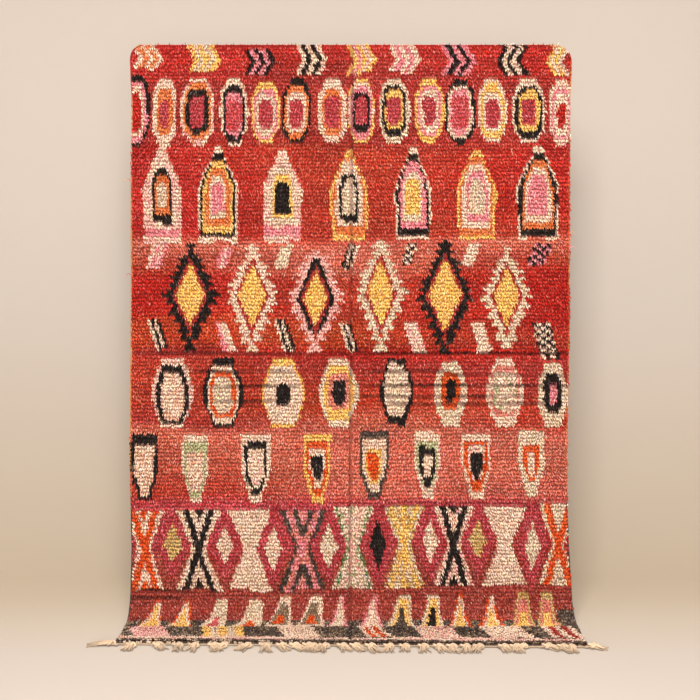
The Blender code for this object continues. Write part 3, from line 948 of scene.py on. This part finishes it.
def lock_points(points, locks):
    """Each point of the one lock, laid along every lock's own curve."""
    names = ("length", "height", "lean", "radius", "aside", "row_shift", "fall", "turn")
    length, height, lean, radius, aside, row_shift, fall, turn = (locks[name][:, None] for name in names)
    along = points[:, 2][None, :]
    side = points[:, 0] * np.cos(turn) - points[:, 1] * np.sin(turn)
    depth = points[:, 0] * np.sin(turn) + points[:, 1] * np.cos(turn)
    far, out = length * along ** 1.4, height * (1.0 - (1.0 - along) ** 2.2)
    run = np.stack([1.4 * length * along ** 0.4, 2.2 * height * (1.0 - along) ** 1.2], -1)
    run = unit(run + 1e-9)
    lying = far - run[..., 1] * depth * radius + row_shift
    out = out * (1.0 - fall * along ** 2) + run[..., 0] * depth * radius
    across = aside + side * radius + lean * np.abs(far)
    made = locks["place"][:, None] + locks["across_way"][:, None] * across[..., None]
    made = made + locks["down_way"][:, None] * lying[..., None] + locks["out_way"][:, None] * out[..., None]
    made[..., 2] = np.maximum(made[..., 2], FLOOR_CLEARANCE - HANG_HEIGHT)
    return made


def lock_colours(points, locks, rng):
    """Painted shade deepens the yarn towards the root of a lock, and a painted highlight pales it towards
    its cut end.
    """
    count = len(locks["tone"])
    warm = 1.0 + rng.normal(0.0, 0.04, (count, 3))
    colour = np.clip(locks["colour"] * locks["tone"][:, None] * warm, 0.002, 0.98)[:, None, :]
    # Painted shade towards the root, painted highlight towards the tip
    shade_power, shade_and_highlight = (
        np.interp(points[:, 2], LOCK_STATIONS, values)[None, :, None] for values in (LOCK_SHADE_POWERS, LOCK_SHADE_AND_HIGHLIGHT)
    )
    power = shade_power * (1.0 + rng.normal(0.0, 0.20, count))[:, None, None]
    return np.clip(colour ** power * shade_and_highlight, 0.001, 0.98)


def make_locks(chart, rows, lock, sizes):
    """The cut ends of every knot in some rows, as one mesh's points, faces and colours."""
    points, faces = lock
    rng = np.random.default_rng(SEED + rows[0])
    locks = draw_locks(chart, rows, rng, sizes)
    made, colours = lock_points(points, locks), lock_colours(points, locks, rng)
    index = faces[None] + (np.arange(len(made)) * len(points))[:, None, None]
    return made.reshape(-1, 3), index.reshape(-1, 3), colours.reshape(-1, 3), len(made)


def yarn_tubes(name, strands):
    """Yarns of four sides as one mesh: each strand is its points and its radius at each of them."""
    start_piece()
    data = bpy.data.curves.new(name, "CURVE")
    data.dimensions = "3D"
    data.bevel_depth = 1.0
    data.bevel_resolution = 0
    data.use_fill_caps = True
    for points, radii in strands:
        spline = data.splines.new("POLY")
        spline.points.add(len(points) - 1)
        spline.points.foreach_set("co", np.c_[points, np.ones(len(points))].ravel())
        spline.points.foreach_set("radius", np.broadcast_to(radii, len(points)).astype(float))
    made = bpy.data.objects.new(name, data)
    bpy.context.scene.collection.objects.link(made)
    keep_active(made)
    bpy.ops.object.convert(target="MESH")
    made = bpy.context.object
    made.data.shade_smooth()
    return made


# Materials

def add_node(material, kind, inputs=(), **settings):
    """Adds a node. Each input is a value, or another node or one of its outputs to link."""
    tree = material.node_tree
    node = tree.nodes.new(kind)
    for name, value in settings.items():
        setattr(node, name, value)
    for name, value in dict(inputs).items():
        if isinstance(value, bpy.types.Node):
            value = next(output for output in value.outputs if output.enabled)
        if isinstance(value, bpy.types.NodeSocket):
            tree.links.new(value, node.inputs[name])
        else:
            node.inputs[name].default_value = value
    return node


def new_material(name):
    """An empty material."""
    material = bpy.data.materials.new(name)
    material.use_nodes = True
    material.node_tree.nodes.clear()
    return material


def yarn_dye(material):
    """The dye that the mesh carries in its attribute."""
    return add_node(material, "ShaderNodeAttribute", attribute_name="yarn")


def noise(material, scale, detail=2.0, roughness=0.5):
    """Noise with so many cells to the metre of the object."""
    where = add_node(material, "ShaderNodeTexCoord")
    return add_node(material, "ShaderNodeTexNoise", {
        "Vector": where.outputs["Object"], "Scale": scale, "Detail": detail, "Roughness": roughness,
    })


def remap(material, value, low, high, to_low=0.0, to_high=1.0):
    """A value brought from one range to another."""
    return add_node(material, "ShaderNodeMapRange", {
        "Value": value, "From Min": low, "From Max": high, "To Min": to_low, "To Max": to_high,
    })


def times(material, colour, factor):
    """A colour or a place multiplied, part by part."""
    return add_node(material, "ShaderNodeVectorMath", {0: colour, 1: factor}, operation="MULTIPLY")


def number(material, operation, first, second=0.5):
    """One operation on numbers."""
    return add_node(material, "ShaderNodeMath", {0: first, 1: second}, operation=operation)


def mix(material, factor, first, second, data_type="RGBA"):
    """From the first to the second by a factor."""
    inputs = {"Factor": factor, "A": first, "B": second}
    return add_node(material, "ShaderNodeMix", inputs, data_type=data_type)


def finish_material(material, colour, relief, roughness, specular, sheen):
    """The shader of a matt textile. Its relief is a height, a strength and a depth in metres."""
    height, strength, depth = relief
    bump = add_node(material, "ShaderNodeBump", {
        "Height": height, "Strength": strength, "Distance": depth,
    })
    shader = add_node(material, "ShaderNodeBsdfPrincipled", {
        "Base Color": colour,
        "Roughness": roughness,
        "Specular IOR Level": specular,
        "Sheen Weight": sheen,
        "Sheen Roughness": 0.45,
        "Normal": bump,
    })
    add_node(material, "ShaderNodeOutputMaterial", {"Surface": shader})
    return material


def pile_wool_material():
    """Hand-spun wool, dyed and cut: matt, with a soft light along each lock and uneven dye."""
    material = new_material("hand_spun_pile_wool")
    # Staple clumps about 2 mm wide show as flecks of darker and lighter wool
    flecks = remap(material, noise(material, 480.0, 3.0, 0.6), 0.25, 0.75, 0.78, 1.22)
    colour = times(material, yarn_dye(material), flecks)
    # Fibres are about 0.05 mm; drawn at 0.5 mm so that they show close up
    fibres = noise(material, 1900.0)
    return finish_material(material, colour, (fibres, 0.35, 0.0006), 0.85, 0.12, 0.03)


def ground_front_material():
    """The woven ground under the pile: its knots' dyes darkened as painted shade, seen only where the pile
    opens.
    """
    material = new_material("wool_ground_under_the_pile")
    # Painted shade: the dyes darkened to stand for the shade deep between the locks
    colour = times(material, yarn_dye(material), (0.50, 0.38, 0.36))
    # Wefts about 3 mm apart
    wefts = noise(material, 330.0)
    return finish_material(material, colour, (wefts, 0.5, 0.001), 0.95, 0.1, 0.0)


def ground_back_material(sizes):
    """The back: each knot shows as two small nodes in a row, with rows of weft between the rows of knots."""
    material = new_material("knotted_wool_back")
    grid = add_node(material, "ShaderNodeUVMap", uv_map="Weave")
    scaled = times(material, grid, (sizes.columns * 2.0, sizes.rows, 1.0))
    cells = add_node(material, "ShaderNodeVectorMath", {0: scaled}, operation="FRACTION")
    parts = add_node(material, "ShaderNodeSeparateXYZ", {"Vector": cells})
    # Half of each 14 mm row is knots, and the rest is 2 shots of weft
    in_knots = remap(material, parts.outputs["Y"], 0.47, 0.55, 1.0, 0.0)
    across = number(material, "MULTIPLY", parts.outputs["X"], math.pi)
    down = number(material, "MULTIPLY", parts.outputs["Y"], 8.0 * math.pi)
    weft_bulge = number(material, "MULTIPLY", number(material, "SINE", down), 0.25)
    height = mix(material, in_knots, weft_bulge, number(material, "SINE", across), "FLOAT")
    colour = mix(material, in_knots, (*linear(WEFT_COLOUR), 1.0), yarn_dye(material))
    flecks = remap(material, noise(material, 420.0), 0.25, 0.75, 0.72, 1.12)
    colour = times(material, colour, flecks)
    return finish_material(material, colour, (height, 0.8, 0.0015), 0.92, 0.2, 0.1)


def spun_yarn_material(name, fleck_low):
    """Plied yarn: matt, with the lay of its plies and flecks of uneven wool."""
    material = new_material(name)
    flecks = remap(material, noise(material, 260.0, 3.0), 0.3, 0.7, fleck_low, 1.08)
    colour = times(material, yarn_dye(material), flecks)
    # Plies about 1 mm wide
    plies = noise(material, 950.0)
    return finish_material(material, colour, (plies, 0.5, 0.0008), 0.88, 0.25, 0.15)


def backdrop_material():
    """Seamless paper: flat and matt, with painted shade and a painted warm bounce of light where the wall
    meets the floor.
    """
    material = new_material("seamless_backdrop_paper")
    cloud = noise(material, 0.8)
    where = add_node(material, "ShaderNodeTexCoord")
    parts = add_node(material, "ShaderNodeSeparateXYZ", {"Vector": where.outputs["Object"]})
    # Painted shade and warm bounce: over 1.3 m up the wall and 1 m forward on the floor
    low = remap(material, parts.outputs["Z"], -0.95, -2.24)
    back = remap(material, parts.outputs["Y"], -0.50, 0.50)
    corner_shade_share = number(material, "MINIMUM", low, back)
    yarns = bpy.context.scene.rug_yarns
    paper = mix(material, corner_shade_share, (*yarns.backdrop, 1.0), (*yarns.backdrop_corner_shade, 1.0))
    colour = times(material, paper, remap(material, cloud, 0.0, 1.0, 0.97, 1.03))
    return finish_material(material, colour, (cloud, 0.02, 0.001), 0.95, 0.1, 0.0)


# Pieces

class RUG_OT_ground(bpy.types.Operator):
    """Weaves the ground that the knots are tied into, one cell for each knot"""

    bl_idname = "rug.ground"
    bl_label = "Woven ground"

    def execute(self, context):
        sizes = context.scene.rug_sizes
        chart = draw_chart(sizes)
        start_piece()
        bpy.ops.mesh.primitive_grid_add(
            x_subdivisions=sizes.columns, y_subdivisions=sizes.rows, size=1.0, calc_uvs=True
        )
        ground = bpy.context.object
        mesh = ground.data
        points = np.array([vertex.co for vertex in mesh.vertices])
        placed = cloth_point(points[:, 0] + 0.5, (0.5 - points[:, 1]) * CLOTH_LENGTH)
        mesh.vertices.foreach_set("co", placed.astype(np.float32).ravel())
        mesh.uv_layers[0].name = "Weave"
        centres = np.array([points[list(face.vertices)].mean(axis=0) for face in mesh.polygons])
        columns = np.clip(((centres[:, 0] + 0.5) * sizes.columns).astype(int), 0, sizes.columns - 1)
        rows = np.clip(((0.5 - centres[:, 1]) * sizes.rows).astype(int), 0, sizes.rows - 1)
        rgba = np.ones((len(centres), 4), np.float32)
        rgba[:, :3] = chart["colour"][rows, columns] * 0.85
        layer = mesh.color_attributes.new("yarn", "FLOAT_COLOR", "CORNER")
        layer.data.foreach_set("color", np.repeat(rgba, 4, axis=0).ravel())
        finish_piece(ground, "woven_ground", ground_front_material(), "pile_wool", "rug")
        mesh.materials.append(ground_back_material(sizes))
        thicken = ground.modifiers.new("ground_thickness", "SOLIDIFY")
        thicken.thickness = GROUND_THICKNESS
        thicken.offset = 1.0
        thicken.material_offset = 1
        thicken.material_offset_rim = 1
        keep_active(ground)
        bpy.ops.object.modifier_apply(modifier=thicken.name)
        ground.data.shade_smooth()
        return {"FINISHED"}


class RUG_OT_pile(bpy.types.Operator):
    """Knots the pile, one piece for each band of the design"""

    bl_idname = "rug.pile"
    bl_label = "Knotted pile"

    def execute(self, context):
        sizes = context.scene.rug_sizes
        chart = draw_chart(sizes)
        chart["frames"] = knot_frames(chart)
        chart["habits"] = lock_habits(chart, sizes)
        lock = model_lock()
        material = pile_wool_material()
        downs = chart["row_down"]
        start = 0.0
        for name, end in BANDS:
            rows = np.flatnonzero((downs >= start) & (downs < end))
            points, faces, colours, count = make_locks(chart, rows, lock, sizes)
            mesh = mesh_of(name, points, faces, colours)
            cells = mesh.uv_layers.new(name="OFBake")
            cells.data.foreach_set("uv", lock_cells(*lock, count).astype(np.float32).ravel())
            band = bpy.data.objects.new(name, mesh)
            context.scene.collection.objects.link(band)
            finish_piece(band, name, material, "pile_wool")
            start = end
        return {"FINISHED"}


class RUG_OT_selvedges(bpy.types.Operator):
    """Overcasts both sides with yarn"""

    bl_idname = "rug.selvedges"
    bl_label = "Overcast selvedges"

    def execute(self, context):
        sizes = context.scene.rug_sizes
        material = spun_yarn_material("overcast_selvedge_wool", 0.72)
        sides = (("selvedge_yarn_left", 0.0, -1.0, 1), ("selvedge_yarn_right", 1.0, 1.0, 2))
        for name, share, outwards, column in sides:
            turns = round((CLOTH_LENGTH - SELVEDGE_START) / (sizes.overcast_radius * 3.0))
            down = np.linspace(SELVEDGE_START, CLOTH_LENGTH - 0.002, turns * 7)
            centre = cloth_point(np.full(len(down), share), down, CORD_DEPTH)
            centre[:, 0] -= outwards * CORD_INSET
            ahead = unit(np.gradient(centre, axis=0))
            out = unit(np.cross(ahead, (1.0, 0.0, 0.0)))
            wind = np.linspace(0.0, 2.0 * math.pi * turns, len(down))[:, None]
            uneven = 1.0 + 0.10 * np.sin(down * 61.0)[:, None]
            core = COIL_RADIUS * uneven
            coil = centre + core * (np.cos(wind) * np.array((1.0, 0.0, 0.0)) + np.sin(wind) * out)
            every = slice(None, None, 60)
            strands = [(coil, sizes.overcast_radius), (centre[every], CORD_RADIUS)]
            cord = yarn_tubes(name, strands)
            points = np.array([vertex.co for vertex in cord.data.vertices])
            way = np.where(points[:, 2] > -HANGING_LENGTH, -points[:, 2], HANGING_LENGTH + 0.2)
            stops = [row[0] for row in SELVEDGE_YARNS]
            dyes = np.array([linear(row[column]) for row in SELVEDGE_YARNS])
            colours = np.stack([np.interp(way, stops, dyes[:, band]) for band in range(3)], axis=-1)
            paint_points(cord.data, colours)
            finish_piece(cord, name, material, "selvedge_wool", name.replace("_yarn", ""))
        return {"FINISHED"}


def fringe_front(share):
    """How far forward the heading lies: the left end was pulled out a little on the floor."""
    return cloth_point(share, CLOTH_LENGTH)[..., 1] - HEADING_GAP - LEFT_PULL * (1.0 - np.asarray(share))


def plait(left, right, radius):
    """Three warps plaited along the end of the cloth."""
    share = np.linspace(0.0, 1.0, 760)
    across = left + (right - left) * share
    strands = []
    for part in range(3):
        turn = 2.0 * math.pi * (across / PLAIT_PITCH + part / 3.0)
        y = fringe_front(share) + 0.0030 * np.sin(turn) + 0.0016 * np.sin(across * 47.0)
        z = -HANG_HEIGHT + 0.0042 + 0.0014 * np.sin(2.0 * turn)
        strands.append((np.stack([across, y, z], axis=-1), radius * 1.7))
    return strands


def overhand_knot(rng, knot, radius):
    """Warps tied together: three strands side by side round a trefoil."""
    strands = []
    turn = np.linspace(0.0, 2.0 * math.pi, 25)
    for part in range(3):
        phase = 2.0 * math.pi * part / 3.0
        wide = rng.uniform(0.92, 1.14)
        path = np.stack([
            0.0060 * wide * (np.sin(turn) + 2.0 * np.sin(2.0 * turn)),
            0.0046 * (np.cos(turn) - 2.0 * np.cos(2.0 * turn)),
            -0.0058 * np.sin(3.0 * turn),
        ], axis=-1)
        offset = 0.0020 * np.array((math.cos(phase), math.sin(phase), math.sin(phase) * 0.8))
        strands.append((knot + path + offset, radius * 2.0))
    return strands


def tassel(rng, centre, front, lean, length, radius):
    """A bundle of warps, its overhand knot, and the cut tails that splay beyond it."""
    floor = -HANG_HEIGHT
    # The corner tassels keep their own lean, and the rest have fallen to either side
    fallen = rng.normal(0.0, FALLEN_TURN) * (abs(lean) < 1.0)
    angle = LEAN_TURN * lean + np.clip(fallen, -FALLEN_MOST, FALLEN_MOST)
    way = np.array((math.sin(angle), -math.cos(angle), 0.0))
    beside = np.array((math.cos(angle), math.sin(angle), 0.0))
    up = np.array((0.0, 0.0, 1.0))
    start = np.array((centre, front, floor + 0.0065))
    knot = start + way * (NECK_LENGTH + 0.010) + up * 0.0065
    strands = overhand_knot(rng, knot, radius)
    for part in np.linspace(-1.0, 1.0, NECK_STRANDS):
        middle = start + way * 0.012 + beside * part * 0.007 + up * 0.002
        neck = (start + beside * part * 0.011, middle, knot + beside * part * 0.006)
        strands.append((np.array(neck), radius * 1.3))
    reach = TAIL_LENGTH * length * 1.45
    along = np.linspace(0.0, 1.0, 6)[:, None]
    for part in range(TAIL_STRANDS):
        side, high = rng.uniform(-1.0, 1.0), rng.uniform(0.0, 1.0)
        far = reach * rng.uniform(0.55, 1.12)
        begin = knot + beside * side * 0.010 + way * 0.005 + up * (high - 0.5) * 0.016
        spread = side * (0.008 + 0.006 * length)
        curl = 0.0028 * np.sin(along * rng.uniform(4.0, 9.0) + part) * along
        sink = (begin[2] - floor - 0.0020 - high * rng.uniform(0.0, 0.011)) * along ** 1.3
        points = begin + beside * (along * spread + curl) + way * along * far - up * sink
        strands.append((points, radius * np.linspace(1.6, 1.05, 6)))
    return strands


class RUG_OT_fringe(bpy.types.Operator):
    """Plaits the heading and ties the fringe"""

    bl_idname = "rug.fringe"
    bl_label = "Knotted fringe"

    def execute(self, context):
        radius = context.scene.rug_sizes.warp_radius
        rng = np.random.default_rng(SEED)
        left, right = (float(across_at(share, CLOTH_LENGTH)) for share in (0.0, 1.0))
        strands = plait(left, right, radius)
        for place, lean, length in KNOTS:
            front = float(fringe_front(place)) - TASSEL_GAP - TASSEL_PULL * (1.0 - place)
            strands += tassel(rng, left + (right - left) * place, front, lean, length, radius)
        fringe = yarn_tubes("knotted_fringe", strands)
        points = np.array([vertex.co for vertex in fringe.data.vertices])
        tone = 1.0 + 0.07 * np.sin(points[:, 0] * 23.0) + rng.normal(0.0, 0.03, len(points))
        # Painted shade: darker where they lie on the floor
        tone *= 0.42 + 0.58 * smooth(points[:, 2], -HANG_HEIGHT + 0.001, -HANG_HEIGHT + 0.014)
        colour = np.array(context.scene.rug_yarns.warp)
        paint_points(fringe.data, colour * tone[:, None])
        material = spun_yarn_material("undyed_cotton_warp", 0.70)
        finish_piece(fringe, "knotted_fringe", material, "warp_yarn", "fringe")
        return {"FINISHED"}


class RUG_OT_loose_ends(bpy.types.Operator):
    """Leaves a few loose ends of yarn, as on the worn cloth"""

    bl_idname = "rug.loose_ends"
    bl_label = "Loose ends"

    def execute(self, context):
        strands, colours = [], []
        along = np.linspace(0.0, 1.0, 9)
        for across, down, length, way, colour in LOOSE_ENDS:
            share = (across + FLAT_WIDTH / 2.0) / FLAT_WIDTH
            place = cloth_point(np.clip(share, 0.0, 1.0), down, LOOSE_END_DEPTH)
            path = np.stack([
                along * length * way + 0.003 * np.sin(along * 7.0),
                -0.007 * np.sin(along * math.pi),
                0.007 * np.sin(along * 4.0) - along * length * (1.0 - abs(way)) * 0.9,
            ], axis=-1)
            strands.append((place + path, LOOSE_END_RADIUS * np.linspace(1.0, 0.6, 9)))
            colours.append(linear(colour))
        ends = yarn_tubes("loose_ends", strands)
        each = len(ends.data.vertices) // len(strands)
        paint_points(ends.data, np.repeat(np.array(colours), each, axis=0))
        finish_piece(ends, "loose_ends", spun_yarn_material("loose_yarn_ends", 0.8), "pile_wool")
        return {"FINISHED"}


class RUG_OT_stage(bpy.types.Operator):
    """Lays the floor and backdrop and sets the lights and the camera"""

    bl_idname = "rug.stage"
    bl_label = "Floor, light and camera"

    def execute(self, context):
        start_piece()
        bpy.ops.mesh.primitive_plane_add(size=1.0, location=(0.0, -3.2, -HANG_HEIGHT - 0.0008))
        backdrop = bpy.context.object
        backdrop.scale = (14.0, 8.1, 1.0)
        bpy.ops.object.transform_apply(location=True, rotation=True, scale=True)
        bpy.ops.object.mode_set(mode="EDIT")
        select_edges(backdrop.data, lambda place: place.y > 0.8)
        bpy.ops.mesh.extrude_region_move(TRANSFORM_OT_translate={"value": (0.0, 0.0, WALL_HEIGHT)})
        select_edges(backdrop.data, lambda place: place.y > 0.8 and place.z < -2.0)
        bpy.ops.mesh.bevel(offset=CORNER_RADIUS, segments=14, profile=0.5)
        bpy.ops.object.mode_set(mode="OBJECT")
        backdrop.data.shade_smooth()
        backdrop.name = "studio_backdrop"
        backdrop.data.materials.append(backdrop_material())
        for softbox in SOFTBOXES:
            self.light(*softbox)
        self.world(context)
        self.camera(context)
        context.scene.view_settings.view_transform = "Standard"
        return {"FINISHED"}

    def light(self, name, place, target, size, power, colour):
        """A square softbox that faces a point."""
        start_piece()
        bpy.ops.object.light_add(type="AREA", location=place)
        lamp = bpy.context.object
        lamp.name = name
        lamp.rotation_euler = (Vector(target) - Vector(place)).to_track_quat("-Z", "Y").to_euler()
        lamp.data.size = size
        lamp.data.energy = power
        lamp.data.color = colour

    def world(self, context):
        """Even light from all round, as in a white studio."""
        world = bpy.data.worlds.new("white_studio")
        world.use_nodes = True
        background = world.node_tree.nodes["Background"]
        background.inputs["Color"].default_value = (*linear("#fffaf6"), 1.0)
        background.inputs["Strength"].default_value = ROOM_LIGHT
        context.scene.world = world

    def camera(self, context):
        """Level, at half the rug's height, as the photograph was taken."""
        data = bpy.data.cameras.new("level_camera")
        data.lens = CAMERA_LENS
        data.sensor_width = 36.0
        camera = bpy.data.objects.new("level_camera", data)
        camera.location = CAMERA_PLACE
        camera.rotation_euler = (math.pi / 2.0, 0.0, 0.0)
        context.scene.collection.objects.link(camera)
        context.scene.camera = camera


class RUG_PT_panel(bpy.types.Panel):
    """Lists the rug's sizes, yarns and pieces"""

    bl_idname = "RUG_PT_panel"
    bl_label = "Knotted pile rug"
    bl_space_type = "VIEW_3D"
    bl_region_type = "UI"
    bl_category = "Rug"

    def draw(self, context):
        for group in (context.scene.rug_sizes, context.scene.rug_yarns):
            box = self.layout.box()
            for name in group.bl_rna.properties.keys():
                if name not in ("rna_type", "name"):
                    box.prop(group, name)
        for operator in OPERATORS:
            self.layout.operator(operator.bl_idname)


OPERATORS = (
    RUG_OT_ground,
    RUG_OT_pile,
    RUG_OT_selvedges,
    RUG_OT_fringe,
    RUG_OT_loose_ends,
    RUG_OT_stage,
)


def register():
    for made in (RugSizes, RugYarns, *OPERATORS, RUG_PT_panel):
        bpy.utils.register_class(made)
    bpy.types.Scene.rug_sizes = bpy.props.PointerProperty(type=RugSizes)
    bpy.types.Scene.rug_yarns = bpy.props.PointerProperty(type=RugYarns)


def unregister():
    del bpy.types.Scene.rug_yarns
    del bpy.types.Scene.rug_sizes
    for made in reversed((RugSizes, RugYarns, *OPERATORS, RUG_PT_panel)):
        bpy.utils.unregister_class(made)


def declare_cloth():
    """Gathers the names of the pieces of cloth; nothing is done with them."""
    names = [band[0] for band in BANDS]
    names += ["selvedge_yarn_left", "selvedge_yarn_right", "knotted_fringe", "loose_ends"]


def main():
    register()
    bpy.ops.rug.ground()
    bpy.ops.rug.pile()
    bpy.ops.rug.selvedges()
    bpy.ops.rug.fringe()
    bpy.ops.rug.loose_ends()
    bpy.ops.rug.stage()
    declare_cloth()


if __name__ == "__main__":
    main()
